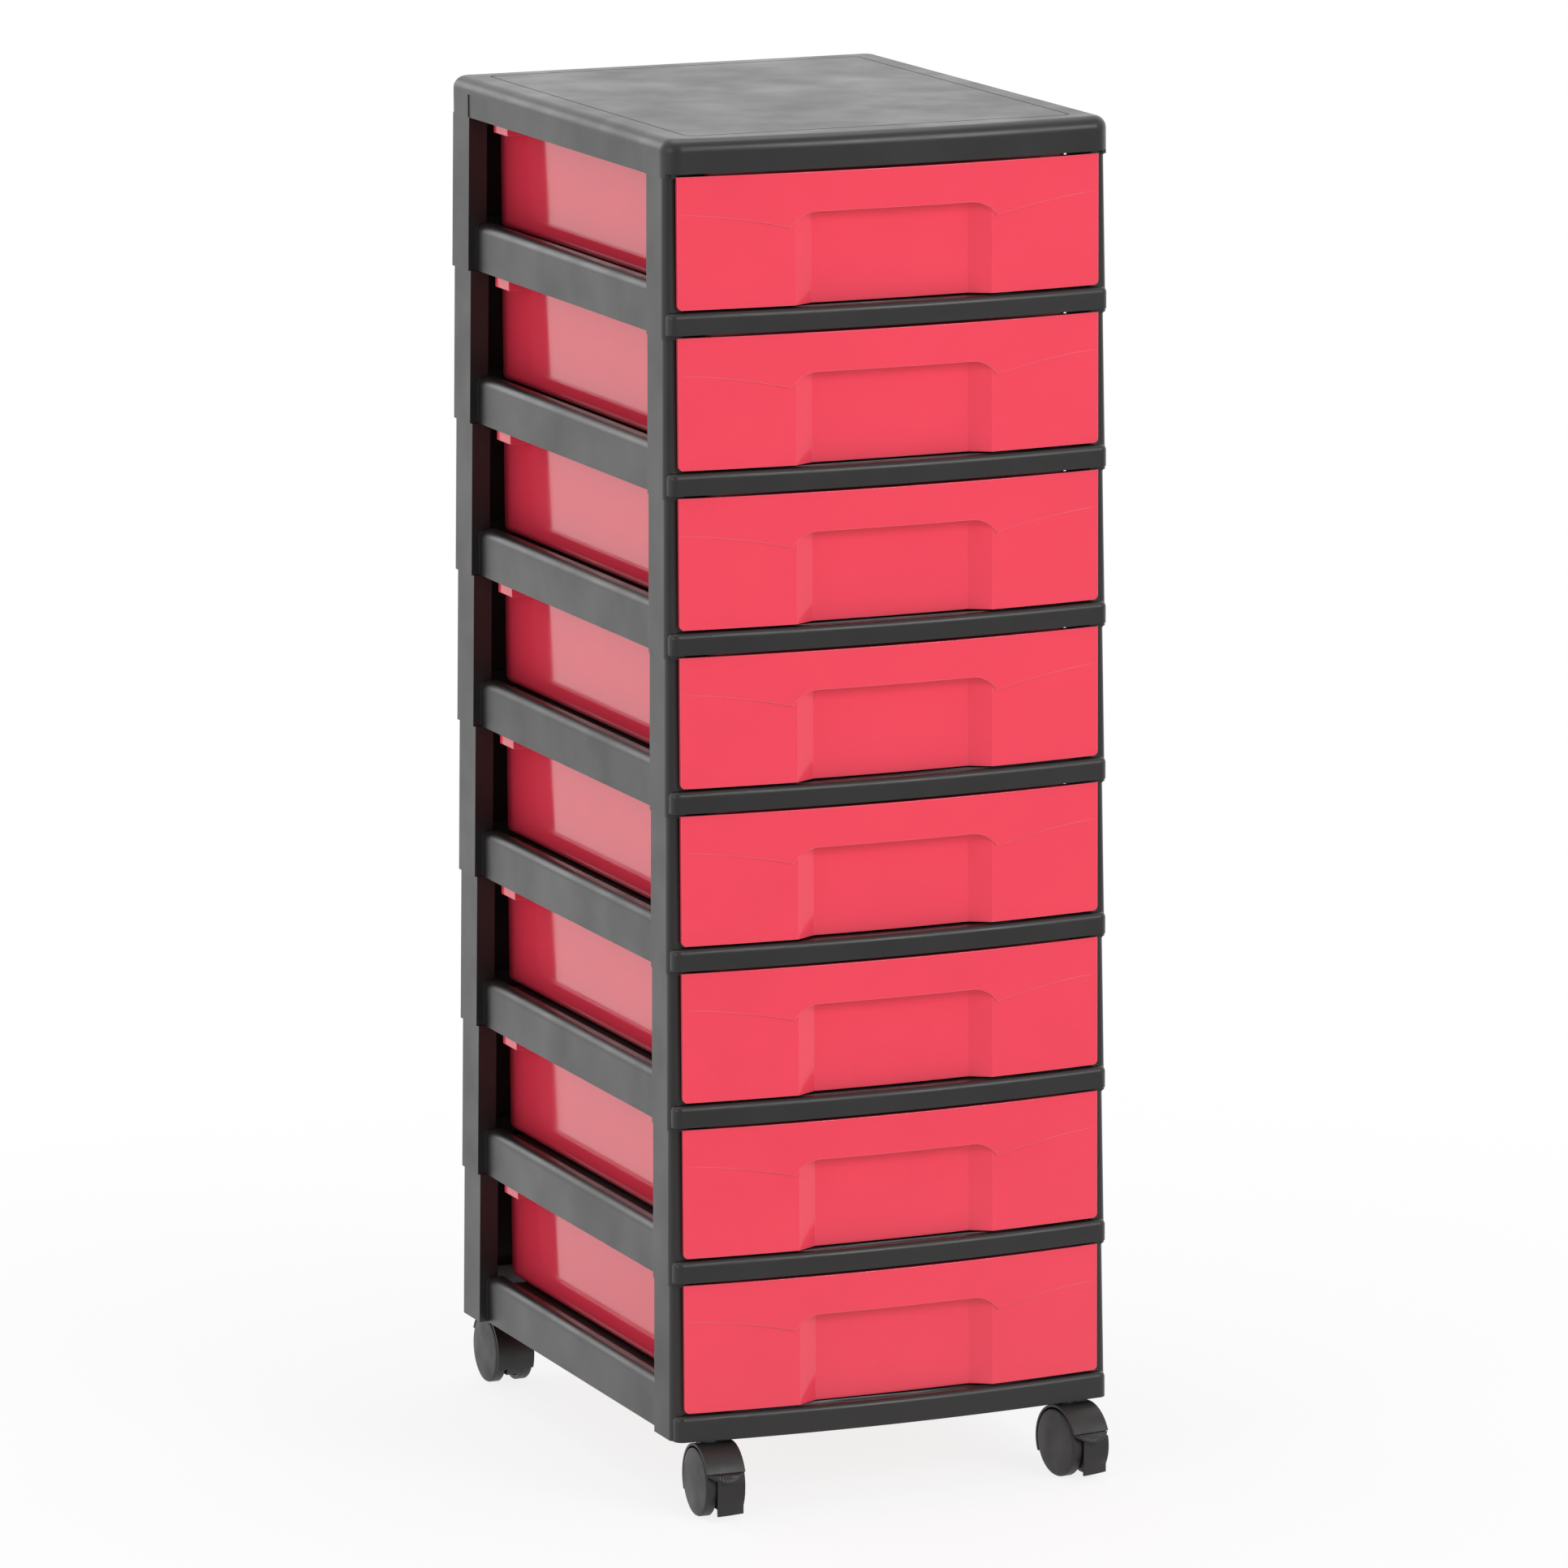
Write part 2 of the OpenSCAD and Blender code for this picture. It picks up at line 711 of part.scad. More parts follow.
module hood() {
    hw = caster_w / 2 - hood_gap;
    color(caster_col)
        difference() {
            union() {
                // Cover over the wheels, open below and at the front
                difference() {
                    across(hood_ro, -hw, hw);
                    across(hood_ri, -hw - 1, hw + 1);
                    translate([-hw - 1, -trail - hood_ro - 1, -big])
                        cube([2 * hw + 2, hood_ro + 1, big + pivot_z + knuckle_r + 0.3]);
                    translate([-hw - 1, -trail - 1, -big])
                        cube([2 * hw + 2, hood_ro + 2, big + wheel_r * 0.55]);
                }
                // Web between the wheels
                difference() {
                    union() {
                        across(web_r, -web_t / 2, web_t / 2);
                        translate([0, 0, seat_z - 12])
                            cylinder(r = boss_r, h = 12);
                    }
                    translate([-boss_r - 1, -trail - hood_ro - 1, -big])
                        cube([2 * boss_r + 2, 2 * hood_ro + 2, big + wheel_r * 0.35]);
                    for (s = [-1, 1])
                        translate([s > 0 ? web_t / 2 : -web_t / 2 - boss_r, -trail, wheel_r])
                            rotate([0, 90, 0])
                                cylinder(r = hood_ri, h = boss_r);
                }
            }
            // Flat seat and bore for the stem
            translate([0, 0, seat_z])
                cylinder(r = boss_r, h = 10);
            translate([0, 0, seat_z - 11.5])
                cylinder(r = stem_d / 2 + run_fit, h = 20);
            across(axle_d / 2, -caster_w, caster_w);
            // Room for the pedal's knuckle
            translate([-hw - 1, pivot_y, pivot_z])
                rotate([0, 90, 0])
                    cylinder(r = knuckle_r + 0.3, h = 2 * hw + 2);
        }
}

module axle() {
    color(pin_col)
        across(axle_d / 2, -caster_w / 2 + 2, caster_w / 2 - 2);
}

// Twin wheel half: closed domed face outside, hub and spokes inside
module wheel(side) {
    rim_t = 2.6;
    face_t = 1.4;
    hub_r = axle_d / 2 + 2.6;
    dome = 0.7;
    color(caster_col)
        translate([side * (caster_w / 2 - wheel_w), -trail, wheel_r])
            rotate([0, side * 90, 0]) {
                rotate_extrude()
                    polygon([[wheel_r - rim_t, 0], [wheel_r - 0.4, 0], [wheel_r, 0.4],
                        [wheel_r, wheel_w - 1.6], [wheel_r - 0.5, wheel_w - 0.6],
                        [wheel_r - 1.6, wheel_w - 0.1], [wheel_r * 0.55, wheel_w + dome * 0.6],
                        [0, wheel_w + dome], [0, wheel_w - face_t],
                        [axle_d / 2 + run_fit, wheel_w - face_t],
                        [axle_d / 2 + run_fit, 0.4], [hub_r, 0.4], [hub_r, wheel_w - face_t],
                        [wheel_r - rim_t, wheel_w - face_t]]);
                for (i = [0 : 5])
                    rotate([0, 0, i * 60])
                        translate([hub_r - 0.4, -0.7, 1.6])
                            cube([wheel_r - rim_t - hub_r + 0.8, 1.4, wheel_w - face_t - 1.6 + eps]);
            }
}

// Brake pedal: ridged lip, knuckle and the flap in front of the wheels
module brake() {
    x0 = -pedal_w * 0.4;
    x1 = pedal_w * 0.6;
    flap_t = 1.8;
    lip_back = 1.6;
    color(caster_col) {
        translate([x0, pivot_y, pivot_z])
            rotate([0, 90, 0])
                cylinder(r = knuckle_r, h = pedal_w);
        translate([x0, pivot_y - knuckle_r, 4.6])
            cube([pedal_w, flap_t, pivot_z - 4.6]);
        intersection() {
            translate([0, -lip_c, pivot_z - 1])
                cylinder(r = lip_arc, h = 2);
            translate([-caster_w / 2 + 1, -lip_c - lip_arc - 1, 0])
                cube([caster_w - 2, lip_c + lip_arc + 1 + pivot_y + lip_back, pivot_z + 5]);
        }
        for (i = [0 : pedal_teeth - 1])
            translate([0, -lip_c, pivot_z])
                rotate([0, 0, (i - pedal_teeth / 2) * 6 - 12])
                    translate([-0.6, -lip_arc + 0.2, 0])
                        cube([1.2, 2.2, 1.6]);
    }
}

top_cover();
frame(1);  // frame_1
frame(2);  // frame_2
frame(3);  // frame_3
frame(4);  // frame_4
frame(5);  // frame_5
frame(6);  // frame_6
frame(7);  // frame_7
frame(8);  // frame_8
drawer(1);  // drawer_1
drawer(2);  // drawer_2
drawer(3);  // drawer_3
drawer(4);  // drawer_4
drawer(5);  // drawer_5
drawer(6);  // drawer_6
drawer(7);  // drawer_7
drawer(8);  // drawer_8
at_corner(-1, -1, swivel_fl) stem();  // stem_fl
at_corner(-1, -1, swivel_fl) hood();  // hood_fl
at_corner(-1, -1, swivel_fl) axle();  // axle_fl
at_corner(-1, -1, swivel_fl) wheel(-1);  // wheel_fl_l
at_corner(-1, -1, swivel_fl) wheel(1);  // wheel_fl_r
at_corner(-1, -1, swivel_fl) brake();  // brake_fl
at_corner(1, -1, swivel_fr) stem();  // stem_fr
at_corner(1, -1, swivel_fr) hood();  // hood_fr
at_corner(1, -1, swivel_fr) axle();  // axle_fr
at_corner(1, -1, swivel_fr) wheel(-1);  // wheel_fr_l
at_corner(1, -1, swivel_fr) wheel(1);  // wheel_fr_r
at_corner(1, -1, swivel_fr) brake();  // brake_fr
at_corner(-1, 1, 180) stem();  // stem_rl
at_corner(-1, 1, 180) hood();  // hood_rl
at_corner(-1, 1, 180) axle();  // axle_rl
at_corner(-1, 1, 180) wheel(-1);  // wheel_rl_l
at_corner(-1, 1, 180) wheel(1);  // wheel_rl_r
at_corner(1, 1, 180) stem();  // stem_rr
at_corner(1, 1, 180) hood();  // hood_rr
at_corner(1, 1, 180) axle();  // axle_rr
at_corner(1, 1, 180) wheel(-1);  // wheel_rr_l
at_corner(1, 1, 180) wheel(1);  // wheel_rr_r
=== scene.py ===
import json
import math
import bmesh
import bpy
import numpy as np
from mathutils import Matrix, Vector

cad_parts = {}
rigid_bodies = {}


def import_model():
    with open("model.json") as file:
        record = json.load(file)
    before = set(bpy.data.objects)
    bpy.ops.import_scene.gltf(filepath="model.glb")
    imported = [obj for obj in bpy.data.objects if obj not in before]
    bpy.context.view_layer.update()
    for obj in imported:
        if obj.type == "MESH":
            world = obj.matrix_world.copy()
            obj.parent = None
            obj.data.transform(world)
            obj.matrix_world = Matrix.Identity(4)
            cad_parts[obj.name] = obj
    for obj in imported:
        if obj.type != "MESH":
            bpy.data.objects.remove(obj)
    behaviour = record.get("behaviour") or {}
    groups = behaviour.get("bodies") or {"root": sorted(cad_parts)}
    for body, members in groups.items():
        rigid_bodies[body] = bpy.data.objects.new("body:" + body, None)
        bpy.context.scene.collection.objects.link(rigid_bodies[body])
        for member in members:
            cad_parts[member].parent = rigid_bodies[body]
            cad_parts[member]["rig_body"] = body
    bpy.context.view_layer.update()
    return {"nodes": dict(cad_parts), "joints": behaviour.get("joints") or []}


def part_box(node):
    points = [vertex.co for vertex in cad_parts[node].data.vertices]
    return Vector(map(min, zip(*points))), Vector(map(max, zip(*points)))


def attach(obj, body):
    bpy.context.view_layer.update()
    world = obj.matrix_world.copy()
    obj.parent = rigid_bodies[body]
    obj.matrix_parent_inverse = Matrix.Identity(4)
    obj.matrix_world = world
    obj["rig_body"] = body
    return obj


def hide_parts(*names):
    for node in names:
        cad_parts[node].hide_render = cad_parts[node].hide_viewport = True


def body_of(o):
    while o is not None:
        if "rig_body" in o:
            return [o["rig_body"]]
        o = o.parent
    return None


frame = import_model()
joints = {joint["name"]: joint for joint in frame["joints"]}
print("tower loaded:", len(frame["nodes"]), "nodes")

camera = {
    "place": (-2.395249, -5.782534, 1.633776),   # metres
    "turn": 22.5255,      # degrees to the right of +Y
    "dip": 10.9190,       # degrees below the horizon
    "roll": -0.2666,      # degrees about the line of sight
    "lens": 227.231,      # millimetres
    "sensor": 36,         # millimetres across
    "clip": (0.1, 100),   # metres, the nearest and farthest that it sees
}


def addToScene(name, data):
    obj = bpy.data.objects.new(name, data)
    bpy.context.scene.collection.objects.link(obj)
    return obj


def buildCamera(values):
    turn, dip, roll = (math.radians(values[name]) for name in ("turn", "dip", "roll"))
    forward = Vector((math.sin(turn) * math.cos(dip), math.cos(turn) * math.cos(dip), -math.sin(dip)))
    level = Vector((math.cos(turn), -math.sin(turn), 0))
    upright = level.cross(forward)
    right = math.cos(roll) * level + math.sin(roll) * upright
    up = -math.sin(roll) * level + math.cos(roll) * upright
    data = bpy.data.cameras.new("camera")
    data.lens, data.sensor_width = values["lens"], values["sensor"]
    data.clip_start, data.clip_end = values["clip"]
    obj = addToScene("camera", data)
    obj.matrix_world = Matrix((
        (right.x, up.x, -forward.x, values["place"][0]),
        (right.y, up.y, -forward.y, values["place"][1]),
        (right.z, up.z, -forward.z, values["place"][2]),
        (0, 0, 0, 1)))
    bpy.context.scene.camera = obj


buildCamera(camera)
bpy.context.scene.view_settings.view_transform = "Standard"
print("camera set")

studio = {
    "floorSize": 60.0,        # metres across
    "floorColor": 0.90,
    "floorShadow": 0.16,      # how much of the floor's own shade shows by the tower
    "shadowReach": (0.30, 1.1),   # metres from the middle, over which that fades out
    "floorGloss": (0.62, 1.25),   # strength of the floor in reflections, in front and behind
    "floorTurn": (-1.2, 0.5),     # metres along Y, over which the front gives way to the back
    "worldSoft": 0.55,        # strength that lights the tower
    "worldGloss": (0.70, 1.22),   # strength that gloss reflects, in front and behind
    "worldTurn": (-0.7, 0.3),     # the same change on the world, which runs from -1 to 1 along Y
    "white": (1, 1, 1, 1),
}
lamps = {
    "key": {"place": (2.2, -4.6, 3.0), "size": 2.6, "power": 118},
    "fill": {"place": (-4.6, -1.8, 2.0), "size": 2.4, "power": 30},
    "top": {"place": (0.2, 0.8, 4.6), "size": 3.0, "power": 46},
    "back": {"place": (-2.2, 4.6, 2.4), "size": 2.4, "power": 30},
}
lampAim = (0, 0, 0.45)        # metres, the point that every lamp faces


def addNode(tree, kind, **settings):
    # a setting goes to the input of that name, or else to the node itself
    node = tree.nodes.new(kind)
    for name, value in settings.items():
        if name in node.inputs.keys():
            node.inputs[name].default_value = value
        else:
            setattr(node, name, value)
    return node


def spread(tree, value, low, high, start=0.3, end=0.7):
    # a value from start to end becomes low to high; a noise mostly runs from 0.3 to 0.7
    ranged = addNode(tree, "ShaderNodeMapRange")
    for socket, number in zip(("From Min", "From Max", "To Min", "To Max"), (start, end, low, high)):
        ranged.inputs[socket].default_value = number
    tree.links.new(value, ranged.inputs["Value"])
    return ranged.outputs[0]


def rayKind(tree, *kinds):
    # 1 for any of the named kinds of ray, else 0
    path = addNode(tree, "ShaderNodeLightPath")
    value = path.outputs[kinds[0]]
    for kind in kinds[1:]:
        either = addNode(tree, "ShaderNodeMath", operation="MAXIMUM")
        tree.links.new(value, either.inputs[0])
        tree.links.new(path.outputs[kind], either.inputs[1])
        value = either.outputs[0]
    return value


def mixShaders(tree, share, first, second):
    mix = addNode(tree, "ShaderNodeMixShader")
    for socket, source in zip(mix.inputs, (share, first, second)):
        tree.links.new(source, socket)
    return mix.outputs[0]


def partAlongY(tree, vector):
    parts = addNode(tree, "ShaderNodeSeparateXYZ")
    tree.links.new(vector, parts.inputs[0])
    return parts.outputs["Y"]


def buildFloor(values):
    half = values["floorSize"] / 2
    corners = [(-half, -half, 0), (half, -half, 0), (half, half, 0), (-half, half, 0)]
    mesh = bpy.data.meshes.new("floor")
    mesh.from_pydata(corners, [], [(0, 1, 2, 3)])
    material = bpy.data.materials.new("floorPaper")
    material.use_nodes = True
    tree = material.node_tree
    tree.nodes.clear()
    paper = addNode(tree, "ShaderNodeBsdfDiffuse", Color=(values["floorColor"],) * 3 + (1,))
    glow = addNode(tree, "ShaderNodeEmission", Color=values["white"])
    place = addNode(tree, "ShaderNodeTexCoord").outputs["Object"]
    # gloss sees the floor dimmer in front of the tower than behind it, and every other ray sees it at 1
    shine = spread(tree, partAlongY(tree, place), *values["floorGloss"], *values["floorTurn"])
    strength = addNode(tree, "ShaderNodeMix", A=1.0)
    tree.links.new(rayKind(tree, "Is Glossy Ray"), strength.inputs["Factor"])
    tree.links.new(shine, strength.inputs["B"])
    tree.links.new(strength.outputs[0], glow.inputs["Strength"])
    # the floor's own shade shows near the tower and fades to white around it
    reach = addNode(tree, "ShaderNodeVectorMath", operation="LENGTH")
    tree.links.new(place, reach.inputs[0])
    fade = spread(tree, reach.outputs["Value"], 1 - values["floorShadow"], 1, *values["shadowReach"])
    share = addNode(tree, "ShaderNodeMath", operation="MULTIPLY")
    tree.links.new(rayKind(tree, "Is Camera Ray", "Is Glossy Ray", "Is Transmission Ray"), share.inputs[0])
    tree.links.new(fade, share.inputs[1])
    output = addNode(tree, "ShaderNodeOutputMaterial")
    tree.links.new(mixShaders(tree, share.outputs[0], paper.outputs[0], glow.outputs[0]), output.inputs[0])
    mesh.materials.append(material)
    addToScene("floor", mesh)


def buildWorld(values):
    world = bpy.context.scene.world or bpy.data.worlds.new("world")
    bpy.context.scene.world = world
    world.use_nodes = True
    tree = world.node_tree
    tree.nodes.clear()
    soft = addNode(tree, "ShaderNodeBackground", Color=values["white"], Strength=values["worldSoft"])
    gloss = addNode(tree, "ShaderNodeBackground", Color=values["white"])
    seen = addNode(tree, "ShaderNodeBackground", Color=values["white"], Strength=1.0)
    # gloss sees the world dimmer in front of the tower than behind it
    direction = addNode(tree, "ShaderNodeTexCoord").outputs["Generated"]
    shine = spread(tree, partAlongY(tree, direction), *values["worldGloss"], *values["worldTurn"])
    tree.links.new(shine, gloss.inputs["Strength"])
    lit = mixShaders(tree, rayKind(tree, "Is Glossy Ray"), soft.outputs[0], gloss.outputs[0])
    shown = mixShaders(tree, rayKind(tree, "Is Camera Ray", "Is Transmission Ray"), lit, seen.outputs[0])
    output = addNode(tree, "ShaderNodeOutputWorld")
    tree.links.new(shown, output.inputs[0])


def buildLamp(name, values, aim):
    data = bpy.data.lights.new(name, "AREA")
    data.shape, data.size, data.energy = "DISK", values["size"], values["power"]
    place = Vector(values["place"])
    facing = (Vector(aim) - place).to_track_quat("-Z", "Y")
    addToScene(name, data).matrix_world = Matrix.Translation(place) @ facing.to_matrix().to_4x4()


buildFloor(studio)
buildWorld(studio)
for name, lamp in lamps.items():
    buildLamp(name, lamp, lampAim)
print("studio set")

framePlastic = {
    "color": (0.0118, 0.0104, 0.0101),
    "tint": 0.06,              # how much the colour clouds, as a share of it
    "roughness": (0.27, 0.37),
    "cloudSize": 26.0,         # repeats per metre of the slow changes in colour and gloss
    "grainSize": 2600.0,       # repeats per metre of the moulding grain
    "grainDepth": 0.00001,     # metres
    "waveDepth": 0.00002,      # metres, slow unevenness of the moulded wall
    "handled": 0.10,           # extra roughness in broad patches
    "handledSize": 7.0,        # repeats per metre of those patches
    "edge": 0.0006,            # metres, softened edges
}
drawerPlastic = {
    "color": (0.88, 0.050, 0.094),
    "tint": 0.02,
    "roughness": (0.045, 0.085),
    "cloudSize": 18.0,
    "grainSize": 900.0,
    "grainDepth": 0.000002,
    "waveDepth": 0.00003,
    "handled": 0.025,
    "handledSize": 9.0,
    "edge": 0.0007,
    "paintedHighlightColor": (1.0, 0.30, 0.35),   # painted highlight: the light pink laid into the base colour along the edges
    "paintedHighlightMost": 0.75,                 # the most share of that painted highlight
    "paintedHighlightTurn": (0.84, 0.985),        # cosine of the softened edge's turn where the painted highlight is strongest, and where it is gone
}
casterPlastic = {
    "color": (0.0088, 0.0070, 0.0068),
    "tint": 0.06,
    "roughness": (0.34, 0.48),
    "cloudSize": 60.0,
    "grainSize": 3200.0,
    "grainDepth": 0.000008,
    "waveDepth": 0.00002,
    "handled": 0.12,
    "handledSize": 45.0,
    "edge": 0.0005,
}
mould = {
    "ior": 1.5,
    "edgeSamples": 6,
    "waveShare": 0.7,          # repeats of the wall's waves, as a share of the cloud's
    "cloudDetail": 4.0,        # octaves of each noise
    "handledDetail": 3.0,
    "waveDetail": 1.0,
    "grainDetail": 2.0,
}
pinSteel = {
    "color": (0.56, 0.56, 0.57),
    "roughness": (0.22, 0.34),
    "brushSize": 2400.0,       # repeats per metre of the turning marks
    "brushStretch": (0.05, 0.05, 1),   # long around, short along Z
    "brushDetail": 2.0,        # octaves
    "brushDepth": 0.000006,
    "edge": 0.0003,
    "edgeSamples": 4,
}


def newMaterial(name):
    material = bpy.data.materials.new(name)
    material.use_nodes = True
    tree = material.node_tree
    tree.nodes.clear()
    shader = addNode(tree, "ShaderNodeBsdfPrincipled")
    output = addNode(tree, "ShaderNodeOutputMaterial")
    tree.links.new(shader.outputs[0], output.inputs[0])
    return material, tree, shader


def objectNoise(tree, size, detail, stretch=(1, 1, 1)):
    place = addNode(tree, "ShaderNodeTexCoord")
    mapping = addNode(tree, "ShaderNodeMapping", Scale=stretch)
    noise = addNode(tree, "ShaderNodeTexNoise", Scale=size, Detail=detail)
    tree.links.new(place.outputs["Object"], mapping.inputs["Vector"])
    tree.links.new(mapping.outputs[0], noise.inputs["Vector"])
    return noise.outputs["Fac"]


def mixColors(tree, share, first, second):
    # each colour is either three numbers or another node's output
    mix = addNode(tree, "ShaderNodeMix", data_type="RGBA")
    colorSockets = [socket for socket in mix.inputs if socket.type == "RGBA"]
    for socket, color in zip(colorSockets, (first, second)):
        if isinstance(color, tuple):
            socket.default_value = color + (1,)
        else:
            tree.links.new(color, socket)
    tree.links.new(share, mix.inputs[0])
    return next(socket for socket in mix.outputs if socket.type == "RGBA")


def softEdge(tree, radius, samples):
    edge = addNode(tree, "ShaderNodeBevel", samples=samples)
    edge.inputs["Radius"].default_value = radius
    return edge.outputs[0]


def bumpOn(tree, height, depth, below):
    bump = addNode(tree, "ShaderNodeBump", Strength=1.0, Distance=depth)
    tree.links.new(height, bump.inputs["Height"])
    tree.links.new(below, bump.inputs["Normal"])
    return bump.outputs[0]


def paintedEdgeHighlight(tree, edge, values):
    # painted highlight along the edges: where the softened normal leaves the true one, an edge runs
    surface = addNode(tree, "ShaderNodeNewGeometry")
    turn = addNode(tree, "ShaderNodeVectorMath", operation="DOT_PRODUCT")
    tree.links.new(edge, turn.inputs[0])
    tree.links.new(surface.outputs["Normal"], turn.inputs[1])
    return spread(tree, turn.outputs["Value"], values["paintedHighlightMost"], 0, *values["paintedHighlightTurn"])


def mouldedPlastic(name, values, common):
    # clouded colour and gloss, slow wall unevenness, fine grain, softened edges, and where given a painted
    # highlight along the edges
    material, tree, shader = newMaterial(name)
    edge = softEdge(tree, values["edge"], common["edgeSamples"])
    cloud = objectNoise(tree, values["cloudSize"], common["cloudDetail"])
    dark, light = (tuple(part * (1 + sign * values["tint"]) for part in values["color"]) for sign in (-1, 1))
    color = mixColors(tree, spread(tree, cloud, 0, 1), dark, light)
    # painted highlight: the base colour turns light pink along the edges, standing in for lamp light caught
    # there
    if "paintedHighlightColor" in values:
        color = mixColors(tree, paintedEdgeHighlight(tree, edge, values), color, values["paintedHighlightColor"])
    tree.links.new(color, shader.inputs["Base Color"])
    worn = objectNoise(tree, values["handledSize"], common["handledDetail"])
    gloss = addNode(tree, "ShaderNodeMath", operation="ADD")
    tree.links.new(spread(tree, cloud, *values["roughness"]), gloss.inputs[0])
    tree.links.new(spread(tree, worn, 0, values["handled"]), gloss.inputs[1])
    tree.links.new(gloss.outputs[0], shader.inputs["Roughness"])
    shader.inputs["IOR"].default_value = common["ior"]
    waves = objectNoise(tree, values["cloudSize"] * common["waveShare"], common["waveDetail"])
    grain = objectNoise(tree, values["grainSize"], common["grainDetail"])
    wavy = bumpOn(tree, waves, values["waveDepth"], edge)
    tree.links.new(bumpOn(tree, grain, values["grainDepth"], wavy), shader.inputs["Normal"])
    return material


def turnedSteel(name, values):
    # fine turning marks stacked along Z, in the gloss and in the surface
    material, tree, shader = newMaterial(name)
    shader.inputs["Base Color"].default_value = values["color"] + (1,)
    shader.inputs["Metallic"].default_value = 1.0
    rings = objectNoise(tree, values["brushSize"], values["brushDetail"], values["brushStretch"])
    tree.links.new(spread(tree, rings, *values["roughness"]), shader.inputs["Roughness"])
    edge = softEdge(tree, values["edge"], values["edgeSamples"])
    tree.links.new(bumpOn(tree, rings, values["brushDepth"], edge), shader.inputs["Normal"])
    return material


finishes = {
    "frame": mouldedPlastic("framePlastic", framePlastic, mould),
    "drawer": mouldedPlastic("drawerPlastic", drawerPlastic, mould),
    "caster": mouldedPlastic("casterPlastic", casterPlastic, mould),
    "pin": turnedSteel("pinSteel", pinSteel),
}
print("materials made")

joined = {
    "sameCorner": 0.000002,    # metres, corners closer than this are one
    "flat": 0.3,               # degrees, faces that turn less than this are one
    "crisp": 24.0,             # degrees, edges that turn further stay sharp
}
pedalCorners = ("fl", "fr")    # the casters with a pedal, front left and front right


def finishOf(node):
    if node.startswith(("frame", "top")):
        return "frame"
    if node.startswith("drawer"):
        return "drawer"
    return "pin" if node.startswith(("stem", "axle")) else "caster"


def joinedCopy(node, values):
    # the node's own triangles with their corners joined, shaded smooth up to the crisp angle
    source = frame["nodes"][node]
    mesh = source.data.copy()
    mesh.name = node + "Joined"
    work = bmesh.new()
    work.from_mesh(mesh)
    bmesh.ops.remove_doubles(work, verts=work.verts, dist=values["sameCorner"])
    bmesh.ops.dissolve_limit(work, angle_limit=math.radians(values["flat"]), verts=work.verts,
                             edges=work.edges, delimit={"NORMAL"})
    crisp = math.radians(values["crisp"])
    for edge in work.edges:
        edge.smooth = edge.calc_face_angle(0.0) < crisp
    for face in work.faces:
        face.smooth = True
    work.to_mesh(mesh)
    work.free()
    mesh.materials.clear()
    mesh.materials.append(finishes[finishOf(node)])
    copy = addToScene(node + "Joined", mesh)
    weighted = copy.modifiers.new("weighted", "WEIGHTED_NORMAL")
    weighted.mode, weighted.keep_sharp = "FACE_AREA", True
    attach(copy, body_of(source)[0])
    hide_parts(node)


pedalNodes = ["brake_" + corner for corner in pedalCorners]
for node in frame["nodes"]:
    if node not in pedalNodes:
        joinedCopy(node, joined)
print("nodes joined:", len(frame["nodes"]) - len(pedalNodes))

cornerWeb = {
    "across": (0.1222, 0.1470),   # metres from the middle, inner and outer end
    "depth": (-0.1792, -0.1773),  # metres along Y, front and back
    "barUp": 0.0027,              # metres from a seam up to the lower side of the bar
    "below": 0.0032,              # metres that it hangs below the bar
    "above": 0.0015,              # metres that it reaches up into the bar
    "round": 0.0012,              # radius of its lower inner corner
    "roundSteps": 5,
}
closing = 1e-6                    # metres, corners of a new piece closer than this are one


def closedMesh(name, grids):
    # each grid is a rows x columns x 3 array whose columns run round a tube; both ends are capped
    verts, faces, start = [], [], 0
    for grid in grids:
        rows, columns = grid.shape[:2]
        index = start + np.arange(rows * columns).reshape(rows, columns)
        turned = np.roll(index, -1, axis=1)
        quads = np.stack((index[:-1], turned[:-1], turned[1:], index[1:]), axis=-1).reshape(-1, 4)
        faces += quads.tolist() + [index[0].tolist(), index[-1, ::-1].tolist()]
        verts.append(grid.reshape(-1, 3))
        start += rows * columns
    mesh = bpy.data.meshes.new(name)
    mesh.from_pydata(np.concatenate(verts).tolist(), [], faces)
    work = bmesh.new()
    work.from_mesh(mesh)
    bmesh.ops.remove_doubles(work, verts=work.verts, dist=closing)
    bmesh.ops.recalc_face_normals(work, faces=work.faces)
    work.to_mesh(mesh)
    work.free()
    return mesh


def addPiece(name, grids, body, finish):
    mesh = closedMesh(name, grids)
    mesh.materials.append(finishes[finish])
    mesh.shade_smooth()
    piece = addToScene(name, mesh)
    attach(piece, body)
    return piece


def buildCornerWebs(values):
    # an outline in X and Z with one rounded lower corner, carried along Y from the web's front to its back
    stack = [node for node in frame["nodes"] if node.startswith(("frame", "top"))]
    seams = sorted(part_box(node)[0][2] for node in stack)[1:]   # the lowest box stands on the casters
    inner, outer = values["across"]
    radius = values["round"]
    bend = np.linspace(0, np.pi / 2, values["roundSteps"])
    x = np.concatenate(([outer, outer], inner + radius - radius * np.sin(bend), [inner]))
    for number, seam in enumerate(seams, 1):
        bar = seam + values["barUp"]
        high, low = bar + values["above"], bar - values["below"]
        z = np.concatenate(([high, low], low + radius - radius * np.cos(bend), [high]))
        for side, sign in (("L", -1), ("R", 1)):
            slices = [np.stack((sign * x, np.full_like(x, y), z), axis=-1) for y in values["depth"]]
            addPiece(f"cornerWeb{number}{side}", [np.stack(slices)], "tower", "frame")


buildCornerWebs(cornerWeb)
print("corner webs made")

